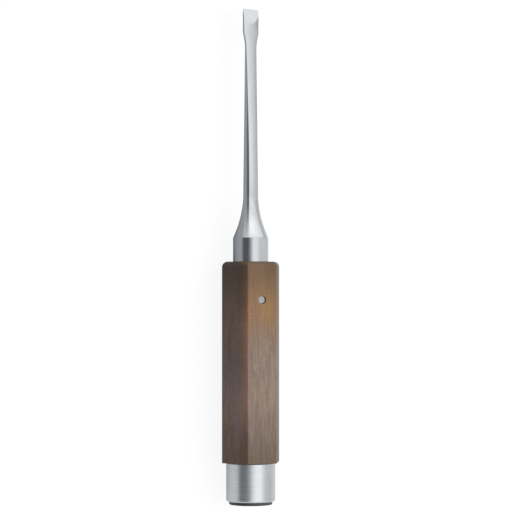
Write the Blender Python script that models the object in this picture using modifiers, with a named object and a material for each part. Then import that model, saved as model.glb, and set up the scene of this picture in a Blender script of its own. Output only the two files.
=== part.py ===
"""Osteotome with a hexagonal laminate handle, lying on one flat of the handle.

Metres, +Z up. The tool's axis runs along Y, with the cutting edge toward +Y. The origin is on the
surface that the tool lies on, midway between the cutting edge and the butt.
"""
import math

import bmesh
import bpy
from mathutils import Matrix

# Lengths along the axis, in order from the cutting edge to the butt
CUTTING_PART_LENGTH = 0.0105
FLARE_LENGTH = 0.0067
SHANK_LENGTH = 0.0666
CONE_LENGTH = 0.0176
BOLSTER_LENGTH = 0.0104
HANDLE_LENGTH = 0.0892
RING_LENGTH = 0.0170
BUTT_PROUD = 0.0014

# Clearance kept between any two pieces that meet
SEAT_GAP = 0.0003

# Cutting part
EDGE_WIDTH = 0.0116
SHOULDER_WIDTH = 0.0110
BLADE_THICKNESS = 0.0012
EDGE_SIDE_THICKNESS = 0.0006
SHOULDER_SIDE_THICKNESS = 0.0009
BEVEL_LENGTH = 0.0065
EDGE_LAND = 0.00008
EDGE_ANGLE = math.radians(14)

# Shank, cone and bolster
SHANK_FRONT_WIDTH = 0.00775
SHANK_WAIST_WIDTH = 0.00715
SHANK_ROOT_WIDTH = 0.0079
SHANK_ROOT_THICKNESS = 0.00355
SHANK_FACE_CROWN = 0.00003
SHANK_SIDE_ANGLE = math.radians(30)
BOLSTER_DIAMETER = 0.0157
BOLSTER_CHAMFER = 0.0001

# Tang inside the handle
TANG_DIAMETER = 0.0080
TANG_LENGTH = 0.0550
TANG_CHAMFER = 0.0010
BORE_END_ROOM = 0.0010

# Handle
HANDLE_ACROSS_FLATS = 0.0243
HANDLE_TOP_ROUNDING = 0.0024
HANDLE_BOTTOM_ROUNDING = 0.0003
HANDLE_ARRIS_ROUNDING = 0.0004
SPIGOT_DIAMETER = 0.0193
BUTT_ROUNDING = 0.0006

# Striking ring
RING_DIAMETER = 0.0218
RING_BUTT_ROUNDING = 0.0009
RING_FRONT_ROUNDING = 0.0003
RING_BORE_CHAMFER = 0.0001

# Cross pin, through the handle and the tang
PIN_DIAMETER = 0.0030
PIN_FROM_HANDLE_TOP = 0.0168
PIN_SUNK = 0.0008
PIN_CHAMFER = 0.0003

# Turn of the blade's broad faces about the axis, from the flat that the tool lies on
BLADE_TURN = math.radians(30)

# Faceting
ROUND_STEPS = 64
SMALL_ROUND_STEPS = 32
SIDE_ARC_STEPS = 7
FACE_ARC_STEPS = 14
ROUNDING_STEPS = 5
BEVEL_CURVE_STEPS = 8
WELD_DISTANCE = 0.000001
SMOOTH_ANGLE = math.radians(32)

# How far a cutter runs past what it cuts
CUT_PAST = 0.002

TOTAL_LENGTH = (
    CUTTING_PART_LENGTH + FLARE_LENGTH + SHANK_LENGTH + CONE_LENGTH + BOLSTER_LENGTH
    + SEAT_GAP + HANDLE_LENGTH + SEAT_GAP + RING_LENGTH + BUTT_PROUD
)
EDGE_Y = TOTAL_LENGTH / 2
BUTT_Y = -TOTAL_LENGTH / 2
AXIS_HEIGHT = HANDLE_ACROSS_FLATS / 2

# Distances from the cutting edge at which the blade changes form
SHOULDER_AT = CUTTING_PART_LENGTH
SHANK_AT = SHOULDER_AT + FLARE_LENGTH
CONE_AT = SHANK_AT + SHANK_LENGTH
BOLSTER_AT = CONE_AT + CONE_LENGTH
BOLSTER_END_AT = BOLSTER_AT + BOLSTER_LENGTH

# Heights of the seats along Y
BOLSTER_SEAT_Y = EDGE_Y - BOLSTER_END_AT
HANDLE_TOP_Y = BOLSTER_SEAT_Y - SEAT_GAP
HANDLE_BOTTOM_Y = HANDLE_TOP_Y - HANDLE_LENGTH
RING_TOP_Y = HANDLE_BOTTOM_Y - SEAT_GAP
PIN_Y = HANDLE_TOP_Y - PIN_FROM_HANDLE_TOP

BOLSTER_RADIUS = BOLSTER_DIAMETER / 2
TANG_RADIUS = TANG_DIAMETER / 2
SPIGOT_RADIUS = SPIGOT_DIAMETER / 2
RING_RADIUS = RING_DIAMETER / 2
RING_BORE_RADIUS = SPIGOT_RADIUS + SEAT_GAP
PIN_RADIUS = PIN_DIAMETER / 2
PIN_HOLE_RADIUS = PIN_RADIUS + SEAT_GAP
TANG_BORE_RADIUS = TANG_RADIUS + SEAT_GAP
TANG_BORE_DEPTH = TANG_LENGTH + BORE_END_ROOM

# Lengthwise shape of the loft
FLARE_EASE = 1.6
SHANK_WAIST_AT = 0.35
SHANK_TAPER_EASE = 1.5
SIDE_ROUND_FULL_AT = 0.75
CONE_CURVE = 1.33
CUTTING_STATIONS = 5
FLARE_STATIONS = 8
SHANK_STATIONS = 14
CONE_STATIONS = 14

# A quarter turn brings a turned piece's own +Z to the tool's +Y
LAY_ALONG_Y = (-math.pi / 2, 0, 0)


def remove_all_objects():
    for old in list(bpy.data.objects):
        bpy.data.objects.remove(old, do_unlink=True)


def make_collections():
    part = bpy.data.collections.new("osteotome")
    cutters = bpy.data.collections.new("cutters")
    bpy.context.scene.collection.children.link(part)
    bpy.context.scene.collection.children.link(cutters)
    return part, cutters


def metal(name, colour, roughness):
    return surface(name, colour, roughness, 1.0)


def surface(name, colour, roughness, metallic):
    material = bpy.data.materials.new(name)
    material.use_nodes = True
    shader = material.node_tree.nodes["Principled BSDF"]
    shader.inputs["Base Color"].default_value = (*colour, 1.0)
    shader.inputs["Roughness"].default_value = roughness
    shader.inputs["Metallic"].default_value = metallic
    return material


def new_object(name, mesh, collection, axis):
    """An object on the tool's axis, which every piece and cutter is parented to."""
    obj = bpy.data.objects.new(name, mesh)
    collection.objects.link(obj)
    obj.parent = axis
    return obj


def as_cutter(obj):
    obj.hide_render = True
    obj.display_type = "WIRE"
    return obj


def finish_mesh(mesh, material):
    mesh.materials.append(material)
    mesh.shade_smooth()
    mesh.set_sharp_from_angle(angle=SMOOTH_ANGLE)


def boolean(obj, operation, other):
    modifier = obj.modifiers.new(f"{operation.lower()}_{other.name}", "BOOLEAN")
    modifier.operation = operation
    modifier.solver = "EXACT"
    modifier.object = other


def rounded_corner(corner, start, end, steps):
    """Points of a quarter round that replaces a square corner of a turned profile."""
    centre = (start[0] + end[0] - corner[0], start[1] + end[1] - corner[1])
    points = []
    for step in range(steps + 1):
        angle = math.pi / 2 * step / steps
        points.append((
            centre[0] + (start[0] - centre[0]) * math.cos(angle) + (end[0] - centre[0]) * math.sin(angle),
            centre[1] + (start[1] - centre[1]) * math.cos(angle) + (end[1] - centre[1]) * math.sin(angle),
        ))
    return points


def turned(name, profile, steps, collection, axis, closed=False):
    """A turned piece: the profile holds (radius, height) and runs down its outer side."""
    mesh = bpy.data.meshes.new(name)
    shape = bmesh.new()
    verts = [shape.verts.new((radius, 0, height)) for radius, height in profile]
    for first, second in zip(verts, verts[1:]):
        shape.edges.new((first, second))
    if closed:
        shape.edges.new((verts[-1], verts[0]))
    shape.to_mesh(mesh)
    shape.free()
    obj = new_object(name, mesh, collection, axis)
    obj.rotation_euler = LAY_ALONG_Y
    screw = obj.modifiers.new("turn", "SCREW")
    screw.axis = "Z"
    screw.steps = steps
    screw.render_steps = steps
    screw.use_merge_vertices = True
    screw.merge_threshold = WELD_DISTANCE
    screw.use_smooth_shade = True
    return obj


def rod_cutter(name, radius, depth, steps, collection, axis):
    """A plain round cutter, centred on its own origin, with its length along its own Z."""
    mesh = bpy.data.meshes.new(name)
    shape = bmesh.new()
    bmesh.ops.create_cone(
        shape, cap_ends=True, segments=steps, radius1=radius, radius2=radius, depth=depth
    )
    shape.to_mesh(mesh)
    shape.free()
    return as_cutter(new_object(name, mesh, collection, axis))


def smooth_step(share):
    share = min(max(share, 0.0), 1.0)
    return share * share * (3 - 2 * share)


def between(start, end, share):
    return start + (end - start) * share


def arc_points(half_chord, rise, steps):
    """Points (along, out) of an arc over a chord of twice half_chord, both ends left out."""
    if rise < half_chord * 0.0001:
        return [(half_chord * (1 - 2 * step / steps), rise) for step in range(1, steps)]
    radius = (half_chord ** 2 + rise ** 2) / (2 * rise)
    half_angle = math.atan2(half_chord, radius - rise)
    points = []
    for step in range(1, steps):
        angle = half_angle * (1 - 2 * step / steps)
        points.append((radius * math.sin(angle), radius * math.cos(angle) - (radius - rise)))
    return points


def blade_section(half_width, half_side, side_rise, face_rise):
    """One closed section with four arrises, and arcs for its two sides and two broad faces.

    half_width and half_side place the arrises. side_rise and face_rise are how far the narrow
    sides and the broad faces bulge past the lines between them.
    """
    face = arc_points(half_width, face_rise, FACE_ARC_STEPS)
    side = arc_points(half_side, side_rise, SIDE_ARC_STEPS)
    section = [(half_width, half_side)]
    section += [(along, half_side + out) for along, out in face]
    section += [(-half_width, half_side)]
    section += [(-half_width - out, along) for along, out in side]
    section += [(-half_width, -half_side)]
    section += [(-along, -half_side - out) for along, out in face]
    section += [(half_width, -half_side)]
    section += [(half_width + out, -along) for along, out in side]
    return section


def cutting_part_section(share):
    """The cutting part spreads a little toward its edge (0), so that it doesn't bind in the bone."""
    side = between(EDGE_SIDE_THICKNESS, SHOULDER_SIDE_THICKNESS, share) / 2
    half_width = between(SHOULDER_WIDTH, EDGE_WIDTH, (1 - share) ** 2) / 2
    return blade_section(half_width, side, 0.0, BLADE_THICKNESS / 2 - side)


def flare_section(share):
    front_side = SHOULDER_SIDE_THICKNESS / 2
    back_side = BLADE_THICKNESS / 2 - SHANK_FACE_CROWN
    side = between(front_side, back_side, share)
    half_width = between(SHANK_FRONT_WIDTH, SHOULDER_WIDTH, (1 - share) ** FLARE_EASE) / 2
    return blade_section(half_width, side, 0.0, BLADE_THICKNESS / 2 - side)


def shank_width(share):
    """The shank is waisted: it widens from its narrowest place both ways, slowly at first."""
    if share < SHANK_WAIST_AT:
        return between(SHANK_WAIST_WIDTH, SHANK_FRONT_WIDTH, (1 - share / SHANK_WAIST_AT) ** 2)
    toward_root = (share - SHANK_WAIST_AT) / (1 - SHANK_WAIST_AT)
    return between(SHANK_WAIST_WIDTH, SHANK_ROOT_WIDTH, toward_root ** 2)


def shank_form(share):
    """The four measures of the shank's section, from the flare (0) to the cone (1)."""
    half_thickness = between(
        BLADE_THICKNESS, SHANK_ROOT_THICKNESS, 1 - (1 - share) ** SHANK_TAPER_EASE
    ) / 2
    side = half_thickness - SHANK_FACE_CROWN
    side_angle = SHANK_SIDE_ANGLE * smooth_step(share / SIDE_ROUND_FULL_AT)
    side_rise = side * math.tan(side_angle / 2)
    return shank_width(share) / 2 - side_rise, side, side_rise, SHANK_FACE_CROWN


def round_form(radius):
    """The same four measures for a full circle, with its arrises where the shank's point."""
    half_width, side, _, _ = shank_form(1.0)
    arris_angle = math.atan2(side, half_width)
    across = radius * math.cos(arris_angle)
    up = radius * math.sin(arris_angle)
    return across, up, radius - across, radius - up


def cone_section(share):
    root = shank_form(1.0)
    end = round_form(BOLSTER_RADIUS - BOLSTER_CHAMFER)
    swell = share ** CONE_CURVE
    return blade_section(*(between(first, last, swell) for first, last in zip(root, end)))


def blade_stations():
    """Every section of the loft, as (distance from the cutting edge, section)."""
    stations = [(-CUT_PAST, cutting_part_section(0.0))]
    for step in range(CUTTING_STATIONS):
        share = step / CUTTING_STATIONS
        stations.append((CUTTING_PART_LENGTH * share, cutting_part_section(share)))
    for step in range(FLARE_STATIONS):
        share = step / FLARE_STATIONS
        stations.append((SHOULDER_AT + FLARE_LENGTH * share, flare_section(share)))
    for step in range(SHANK_STATIONS):
        share = step / SHANK_STATIONS
        stations.append((SHANK_AT + SHANK_LENGTH * share, blade_section(*shank_form(share))))
    for step in range(CONE_STATIONS + 1):
        share = step / CONE_STATIONS
        stations.append((CONE_AT + CONE_LENGTH * share, cone_section(share)))
    inside_bolster = BOLSTER_AT + BOLSTER_LENGTH / 2
    stations.append((inside_bolster, cone_section(1.0)))
    return stations


def loft_blade(collection, axis):
    """The forged front of the blade, from the cutting edge to the front of the bolster."""
    mesh = bpy.data.meshes.new("blade")
    shape = bmesh.new()
    rings = []
    for distance, section in blade_stations():
        rings.append([shape.verts.new((across, EDGE_Y - distance, up)) for across, up in section])
    for front, back in zip(rings, rings[1:]):
        count = len(front)
        for index in range(count):
            after = (index + 1) % count
            shape.faces.new((front[index], front[after], back[after], back[index]))
    shape.faces.new(rings[0])
    shape.faces.new(rings[-1])
    bmesh.ops.recalc_face_normals(shape, faces=shape.faces)
    shape.to_mesh(mesh)
    shape.free()
    blade = new_object("blade", mesh, collection, axis)
    blade.rotation_euler = (0, BLADE_TURN, 0)
    return blade


def bevel_height(distance):
    """Half thickness of the ground bevel, which is slightly convex along its length."""
    start = EDGE_LAND / 2
    slope = math.tan(EDGE_ANGLE / 2)
    full = BLADE_THICKNESS / 2
    easing = (start + slope * BEVEL_LENGTH - full) / BEVEL_LENGTH ** 2
    return start + slope * distance - easing * distance ** 2


def bevel_keeper(collection, axis):
    """The wedge that the ground cutting edge keeps. It opens out clear of all behind it."""
    behind = BOLSTER_AT + BOLSTER_LENGTH
    clear = BOLSTER_DIAMETER
    upper = []
    for step in range(BEVEL_CURVE_STEPS + 1):
        distance = BEVEL_LENGTH * step / BEVEL_CURVE_STEPS
        upper.append((EDGE_Y - distance, bevel_height(distance)))
    upper.append((EDGE_Y - BEVEL_LENGTH - clear, clear))
    upper.append((EDGE_Y - behind, clear))
    lower = [(along, -height) for along, height in reversed(upper)]
    outline = outline_solid("bevel_keeper", upper + lower, clear)
    keeper = as_cutter(new_object("bevel_keeper", outline, collection, axis))
    keeper.rotation_euler = (0, BLADE_TURN, 0)
    return keeper


def outline_solid(name, points, half_depth):
    """A mesh of a flat outline in Y and Z, drawn as a 2D curve and made half_depth thick each way."""
    curve = bpy.data.curves.new(name, "CURVE")
    curve.dimensions = "2D"
    curve.fill_mode = "BOTH"
    curve.extrude = half_depth
    spline = curve.splines.new("POLY")
    spline.points.add(len(points) - 1)
    for point, (along, up) in zip(spline.points, points):
        point.co = (along, up, 0, 1)
    spline.use_cyclic_u = True
    drawn = bpy.data.objects.new(name, curve)
    bpy.context.scene.collection.objects.link(drawn)
    evaluated = drawn.evaluated_get(bpy.context.evaluated_depsgraph_get())
    mesh = bpy.data.meshes.new_from_object(evaluated)
    bpy.data.objects.remove(drawn, do_unlink=True)
    shape = bmesh.new()
    shape.from_mesh(mesh)
    bmesh.ops.remove_doubles(shape, verts=shape.verts, dist=WELD_DISTANCE)
    for vert in shape.verts:
        along, up, across = vert.co
        vert.co = (across, along, up)
    bmesh.ops.recalc_face_normals(shape, faces=shape.faces)
    shape.to_mesh(mesh)
    shape.free()
    return mesh


def turned_bolster_and_tang(collection, axis):
    """The turned back of the blade: the bolster, and the tang that goes into the handle."""
    front = EDGE_Y - BOLSTER_AT
    seat = BOLSTER_SEAT_Y
    end = seat - SEAT_GAP - TANG_LENGTH
    profile = [
        (0, front),
        (BOLSTER_RADIUS - BOLSTER_CHAMFER, front),
        (BOLSTER_RADIUS, front - BOLSTER_CHAMFER),
        (BOLSTER_RADIUS, seat + BOLSTER_CHAMFER),
        (BOLSTER_RADIUS - BOLSTER_CHAMFER, seat),
        (TANG_RADIUS, seat),
        (TANG_RADIUS, end + TANG_CHAMFER),
        (TANG_RADIUS - TANG_CHAMFER, end),
        (0, end),
    ]
    return as_cutter(turned("bolster_and_tang", profile, ROUND_STEPS, collection, axis))


def pin_hole_cutter(collection, axis):
    """The hole for the cross pin, square to the flat that the tool lies on."""
    depth = HANDLE_ACROSS_FLATS + 2 * CUT_PAST
    cutter = rod_cutter("pin_hole", PIN_HOLE_RADIUS, depth, SMALL_ROUND_STEPS, collection, axis)
    cutter.location = (0, PIN_Y, 0)
    return cutter


def make_blade(collection, cutters, axis, pin_hole):
    blade = loft_blade(collection, axis)
    boolean(blade, "INTERSECT", bevel_keeper(cutters, axis))
    boolean(blade, "UNION", turned_bolster_and_tang(cutters, axis))
    boolean(blade, "DIFFERENCE", pin_hole)
    finish_mesh(blade.data, metal("satin_steel", (0.60, 0.61, 0.62), 0.28))
    return blade


def hexagon_body(collection, axis):
    """The handle's hexagonal length, with rounded ends and arrises."""
    mesh = bpy.data.meshes.new("handle")
    shape = bmesh.new()
    radius = HANDLE_ACROSS_FLATS / 2 / math.cos(math.pi / 6)
    bmesh.ops.create_cone(
        shape, cap_ends=True, segments=6, radius1=radius, radius2=radius, depth=HANDLE_LENGTH,
        matrix=Matrix.Rotation(math.pi / 6, 4, "Z"),
    )
    weights = shape.edges.layers.float.new("bevel_weight_edge")
    for edge in shape.edges:
        heights = [vert.co.z for vert in edge.verts]
        if min(heights) > 0:
            edge[weights] = 1.0
        elif max(heights) < 0:
            edge[weights] = HANDLE_BOTTOM_ROUNDING / HANDLE_TOP_ROUNDING
        else:
            edge[weights] = HANDLE_ARRIS_ROUNDING / HANDLE_TOP_ROUNDING
    shape.to_mesh(mesh)
    shape.free()
    handle = new_object("handle", mesh, collection, axis)
    handle.location = (0, (HANDLE_TOP_Y + HANDLE_BOTTOM_Y) / 2, 0)
    handle.rotation_euler = LAY_ALONG_Y
    bevel = handle.modifiers.new("rounded_edges", "BEVEL")
    bevel.limit_method = "WEIGHT"
    bevel.width = HANDLE_TOP_ROUNDING
    bevel.segments = ROUNDING_STEPS
    return handle


def spigot(collection, axis):
    """The turned end of the handle, which the ring fits over and the mallet strikes."""
    inside = HANDLE_BOTTOM_Y + CUT_PAST
    edge = rounded_corner(
        (SPIGOT_RADIUS, BUTT_Y),
        (SPIGOT_RADIUS, BUTT_Y + BUTT_ROUNDING),
        (SPIGOT_RADIUS - BUTT_ROUNDING, BUTT_Y),
        ROUNDING_STEPS,
    )
    profile = [(0, inside), (SPIGOT_RADIUS, inside), *edge, (0, BUTT_Y)]
    return as_cutter(turned("spigot", profile, ROUND_STEPS, collection, axis))


def tang_bore(collection, axis):
    length = TANG_BORE_DEPTH + CUT_PAST
    cutter = rod_cutter("tang_bore", TANG_BORE_RADIUS, length, ROUND_STEPS, collection, axis)
    cutter.rotation_euler = LAY_ALONG_Y
    cutter.location = (0, HANDLE_TOP_Y + CUT_PAST - length / 2, 0)
    return cutter


def make_handle(collection, cutters, axis, pin_hole):
    handle = hexagon_body(collection, axis)
    boolean(handle, "UNION", spigot(cutters, axis))
    boolean(handle, "DIFFERENCE", tang_bore(cutters, axis))
    boolean(handle, "DIFFERENCE", pin_hole)
    finish_mesh(handle.data, surface("brown_laminate", (0.20, 0.13, 0.09), 0.45, 0.0))
    return handle


def make_striking_ring(collection, axis):
    """The steel hoop round the handle's butt, open at both ends."""
    top = RING_TOP_Y
    end = RING_TOP_Y - RING_LENGTH
    front_edge = rounded_corner(
        (RING_RADIUS, top),
        (RING_RADIUS - RING_FRONT_ROUNDING, top),
        (RING_RADIUS, top - RING_FRONT_ROUNDING),
        ROUNDING_STEPS,
    )
    butt_edge = rounded_corner(
        (RING_RADIUS, end),
        (RING_RADIUS, end + RING_BUTT_ROUNDING),
        (RING_RADIUS - RING_BUTT_ROUNDING, end),
        ROUNDING_STEPS,
    )
    bore = [
        (RING_BORE_RADIUS + RING_BORE_CHAMFER, end),
        (RING_BORE_RADIUS, end + RING_BORE_CHAMFER),
        (RING_BORE_RADIUS, top - RING_BORE_CHAMFER),
        (RING_BORE_RADIUS + RING_BORE_CHAMFER, top),
    ]
    profile = [*front_edge, *butt_edge, *bore]
    ring = turned("striking_ring", profile, ROUND_STEPS, collection, axis, closed=True)
    finish_mesh(ring.data, metal("brushed_steel", (0.60, 0.61, 0.62), 0.32))
    return ring


def make_cross_pin(collection, axis):
    """The pin that holds the tang, sunk a little below the flats at both ends."""
    half = HANDLE_ACROSS_FLATS / 2 - PIN_SUNK
    profile = [
        (0, half),
        (PIN_RADIUS - PIN_CHAMFER, half),
        (PIN_RADIUS, half - PIN_CHAMFER),
        (PIN_RADIUS, -half + PIN_CHAMFER),
        (PIN_RADIUS - PIN_CHAMFER, -half),
        (0, -half),
    ]
    pin = turned("cross_pin", profile, SMALL_ROUND_STEPS, collection, axis)
    pin.rotation_euler = (0, 0, 0)
    pin.location = (0, PIN_Y, 0)
    finish_mesh(pin.data, metal("pin_steel", (0.55, 0.56, 0.57), 0.35))
    return pin


def main():
    remove_all_objects()
    collection, cutters = make_collections()
    axis = bpy.data.objects.new("tool_axis", None)
    collection.objects.link(axis)
    axis.location = (0, 0, AXIS_HEIGHT)
    pin_hole = pin_hole_cutter(cutters, axis)
    make_blade(collection, cutters, axis, pin_hole)
    make_handle(collection, cutters, axis, pin_hole)
    make_striking_ring(collection, axis)
    make_cross_pin(collection, axis)


if __name__ == "__main__":
    main()
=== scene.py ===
"""Looks of a straight osteotome: steel blade, brown laminate handle, striking ring and cross pin.

Metres, +Z up. The tool lies along Y on one flat of its handle, with the cutting edge toward +Y.
"""
import math

import bmesh
import bpy
from mathutils import Matrix, Vector


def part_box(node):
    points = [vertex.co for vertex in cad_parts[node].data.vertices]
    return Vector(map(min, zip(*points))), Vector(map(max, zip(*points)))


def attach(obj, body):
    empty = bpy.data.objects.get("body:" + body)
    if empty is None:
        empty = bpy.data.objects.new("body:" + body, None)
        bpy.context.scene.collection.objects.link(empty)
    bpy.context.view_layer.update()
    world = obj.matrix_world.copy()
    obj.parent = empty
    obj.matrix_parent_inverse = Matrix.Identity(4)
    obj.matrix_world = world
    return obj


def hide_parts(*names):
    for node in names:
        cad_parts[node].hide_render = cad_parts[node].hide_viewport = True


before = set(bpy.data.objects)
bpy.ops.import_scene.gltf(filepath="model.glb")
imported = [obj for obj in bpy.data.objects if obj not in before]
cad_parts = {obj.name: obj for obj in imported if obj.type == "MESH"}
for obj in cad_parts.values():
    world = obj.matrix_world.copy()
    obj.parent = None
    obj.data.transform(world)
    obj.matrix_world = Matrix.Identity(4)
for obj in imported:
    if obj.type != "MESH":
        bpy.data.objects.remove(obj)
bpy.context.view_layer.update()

bl_info = {
    "name": "Osteotome",
    "version": (1, 0, 0),
    "blender": (4, 5, 0),
    "location": "3D View > Sidebar > Osteotome",
    "description": "Models a bone osteotome on its solid frame and sets its studio",
    "category": "Object",
}

# Places and outer sizes, read from the solids
BLADE_LOW, BLADE_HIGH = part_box("blade")
HANDLE_LOW, HANDLE_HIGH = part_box("handle")
RING_LOW, RING_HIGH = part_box("striking_ring")
PIN_LOW, PIN_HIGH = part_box("cross_pin")
EDGE_Y = BLADE_HIGH.y
BOLSTER_RADIUS = BLADE_HIGH.x
TANG_END_Y = BLADE_LOW.y
HANDLE_TOP_Y = HANDLE_HIGH.y
BUTT_Y = HANDLE_LOW.y
ACROSS_FLATS = HANDLE_HIGH.z - HANDLE_LOW.z
AXIS_HEIGHT = (HANDLE_HIGH.z + HANDLE_LOW.z) / 2
RING_RADIUS = RING_HIGH.x
RING_END_Y = RING_LOW.y
PIN_Y = (PIN_LOW.y + PIN_HIGH.y) / 2
PIN_TOP = PIN_HIGH.z
PIN_BOTTOM = PIN_LOW.z
SOLID_GAP = 0.0003
SHOULDER_Y = RING_HIGH.y + SOLID_GAP

# A quarter turn about X brings a primitive's own +Z to the tool's -Y
ALONG_TOOL = (math.pi / 2, 0, 0)

# Steps round the blade's section and along each stretch of it
FACE_STEPS = 24
SIDE_STEPS = 14
ARRIS_STEPS = 8
SECTION_POINTS = 2 * (FACE_STEPS + 1) + 2 * (SIDE_STEPS + 1) + 4 * (ARRIS_STEPS - 1)
CUTTING_CUTS = 14
FLARE_CUTS = 22
SHANK_CUTS = 70
CONE_CUTS = 54
BEVEL_FACETS = 13
BEVEL_OVERRUN = 0.001
ROUND_SEGMENTS = 192
FLAT_RISE = 0.0001
BORE_SEGMENTS = 96
SMOOTH_ANGLE = math.radians(35)
MERGE_DISTANCE = 0.0000005
RIM_DISTANCE = 0.00001

# A face of the blade is ground where it slopes toward the edge more than this, and is broad
# where its normal stands more upright than this
LEAST_GROUND_SLOPE = math.sin(math.radians(2.2))
LEAST_BROAD_RISE = 0.9

# Rings of the pin's dish, from its rim inwards
PIN_DISH_RINGS = (0.80, 0.75, 0.65, 0.5)

# Finish of each steel: roughness, its lines' size across and along the tool, and their depth
BLADE_FINISH = (0.15, 0.0004, 0.020, 0.0000015)
RING_FINISH = (0.28, 0.012, 0.0004, 0.000003)
PIN_FINISH = (0.42, 0.0005, 0.0005, 0.000004)

# Between these two values lies most of a noise, and the polish of the steels varies over
# places of this size across and along the tool
NOISE_LOW = 0.3
NOISE_HIGH = 0.7
STEEL_HAZE = (0.004, 0.015)

# A painted highlight on the ground bevel: its gain in brightness, where that sets in about the
# bevel's limit, and how fast the limit curves toward the edge, as height over distance from the
# axis squared
GROUND_PAINTED_HIGHLIGHT_GAIN = 1.24
GROUND_FROM = -0.0004
GROUND_FULL = 0.0008
GROUND_LIMIT_CURVE = 159.0

# Real cotton cloths are 0.35 mm thick, and are drawn 0.8 mm thick so that they show
CLOTH_THICKNESS = 0.0008
CLOTH_WAVE = 0.0040


def linear(hex_colour):
    """The linear RGBA of an sRGB colour such as #8A6A50."""
    channels = []
    for start in (1, 3, 5):
        value = int(hex_colour[start:start + 2], 16) / 255
        channels.append(value / 12.92 if value <= 0.04045 else ((value + 0.055) / 1.055) ** 2.4)
    return (*channels, 1.0)


def size(name, description, default):
    """A length that a user may change."""
    return bpy.props.FloatProperty(
        name=name, description=description, default=default, min=0.0, precision=5, unit="LENGTH",
    )


def turn(name, description, degrees):
    """An angle that a user may change."""
    return bpy.props.FloatProperty(
        name=name, description=description, default=math.radians(degrees), subtype="ANGLE",
    )


def colour(name, description, hex_colour):
    """A colour that a user may change."""
    return bpy.props.FloatVectorProperty(
        name=name, description=description, default=linear(hex_colour), size=4, min=0.0, max=1.0,
        subtype="COLOR",
    )


class OsteotomeBladeSizes(bpy.types.PropertyGroup):
    cutting_length: size("Cutting part", "Length of the part from edge to shoulder", 0.0105)
    flare_length: size("Flare", "Length over which the cutting part narrows to the shank", 0.0067)
    shank_length: size("Shank", "Length of the shank, from flare to cone", 0.0666)
    cone_length: size("Cone", "Length over which the shank swells to the bolster", 0.0176)
    edge_width: size("Edge width", "Width of the cutting edge", 0.0116)
    shoulder_width: size("Shoulder width", "Width of the blade where the flare starts", 0.0110)
    thickness: size("Blade thickness", "Thickness of the cutting part at its middle", 0.0012)
    edge_side: size("Side at the edge", "Height of the narrow side at the cutting edge", 0.0006)
    shoulder_side: size("Side at the shoulder", "Height of the narrow side there", 0.0009)
    bevel_length: size("Bevel", "Length of the ground bevel", 0.0065)
    edge_land: size("Edge land", "Thickness left at the very edge", 0.00008)
    edge_angle: turn("Edge angle", "Angle between the two bevels at the edge", 14)
    front_width: size("Front of shank", "Width of the shank at the flare", 0.00775)
    waist_width: size("Waist of shank", "Width of the shank where it is narrowest", 0.00715)
    root_width: size("Root of shank", "Width of the shank at the cone", 0.0077)
    root_thickness: size("Root thickness", "Thickness of the shank at the cone", 0.00375)
    face_crown: size("Face crown", "How far the shank's broad faces bulge", 0.00012)
    side_angle: turn("Side rounding", "Turn of the shank's rounded narrow sides", 30)
    arris: size("Arris softening", "How far polishing has taken the arrises back", 0.00012)
    face_arris: size("Shank arris on the face", "The same on the shank's broad faces", 0.00045)
    side_arris: size("Shank arris on the side", "The same on the shank's narrow sides", 0.00016)
    bolster_chamfer: size("Bolster chamfer", "Broken edge at both ends of the bolster", 0.0001)
    tang_radius: size("Tang radius", "Radius of the hidden tang", 0.0040)
    tang_chamfer: size("Tang chamfer", "Chamfer at the hidden end of the tang", 0.0010)
    blade_turn: turn("Blade turn", "Turn of the broad faces from the lower flat", 30)


class OsteotomeHandleSizes(bpy.types.PropertyGroup):
    top_rounding: size("Top rounding", "Radius round the handle's end at the bolster", 0.0024)
    bottom_rounding: size("Bottom rounding", "Radius round the handle's end at the ring", 0.0003)
    arris_rounding: size("Arris rounding", "Width taken off each arris", 0.00042)
    spigot_radius: size("Spigot radius", "Radius of the turned end inside the ring", 0.00965)
    butt_rounding: size("Butt rounding", "Radius round the struck end", 0.0006)
    bore_room: size("Bore room", "Depth that the bore runs past the tang", 0.0010)
    pin_hole_radius: size("Pin hole radius", "Radius of the hole across the handle", 0.0018)
    pin_radius: size("Pin radius", "Radius of the cross pin", 0.00177)
    pin_edge: size("Pin edge", "Rounding at the pin's ends", 0.00025)
    pin_dish: size("Pin dish", "Depth of the dish in the pin's ends", 0.00015)
    ring_butt_rounding: size("Ring rounding", "Radius at the struck end of the ring", 0.0009)
    ring_front_rounding: size("Ring front rounding", "Radius at the ring's other end", 0.0003)
    ring_gap: size("Ring gap", "Gap that shows between shoulder and ring", 0.00014)
    fit: size("Fit", "Gap left between pieces that are pressed together", 0.00002)


class OsteotomeColours(bpy.types.PropertyGroup):
    steel: colour("Steel", "Satin polished stainless steel", "#CACCCE")
    ring_steel: colour("Ring steel", "Turned stainless steel", "#D5D6D7")
    pin_steel: colour("Pin steel", "Cut end of drawn stainless steel", "#A9ABAE")
    cloth: colour("Cloth layer", "Lighter cotton layers of the laminate", "#8C7869")
    resin: colour("Resin layer", "Darker resin between the layers", "#66554A")
    olive: colour("Olive streak", "Streaks of the laminate with less red", "#75675A")
    rosy: colour("Rosy streak", "Redder streaks of the laminate", "#7D5B4B")
    # The left flat's greyer tone is partly its own and partly a painted sheen
    plum_and_painted_sheen: colour("Plum side", "Greyer laminate of the left flat", "#806E6C")
    warm: colour("Warm end", "Laminate near the bolster", "#7A5938")
    golden: colour("Golden patch", "Most golden place of the laminate", "#886738")
    # Painted shade: this colour darkens the spigot's end beyond the ring
    butt: colour("Struck end", "Laminate darkened at the struck end", "#4E4846")
    paper: colour("Paper", "Backdrop paper, as it lights the tool", "#A6A9AC")
    paper_seen: colour("Paper in view", "Backdrop paper under its own glow", "#5C5C5C")


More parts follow.
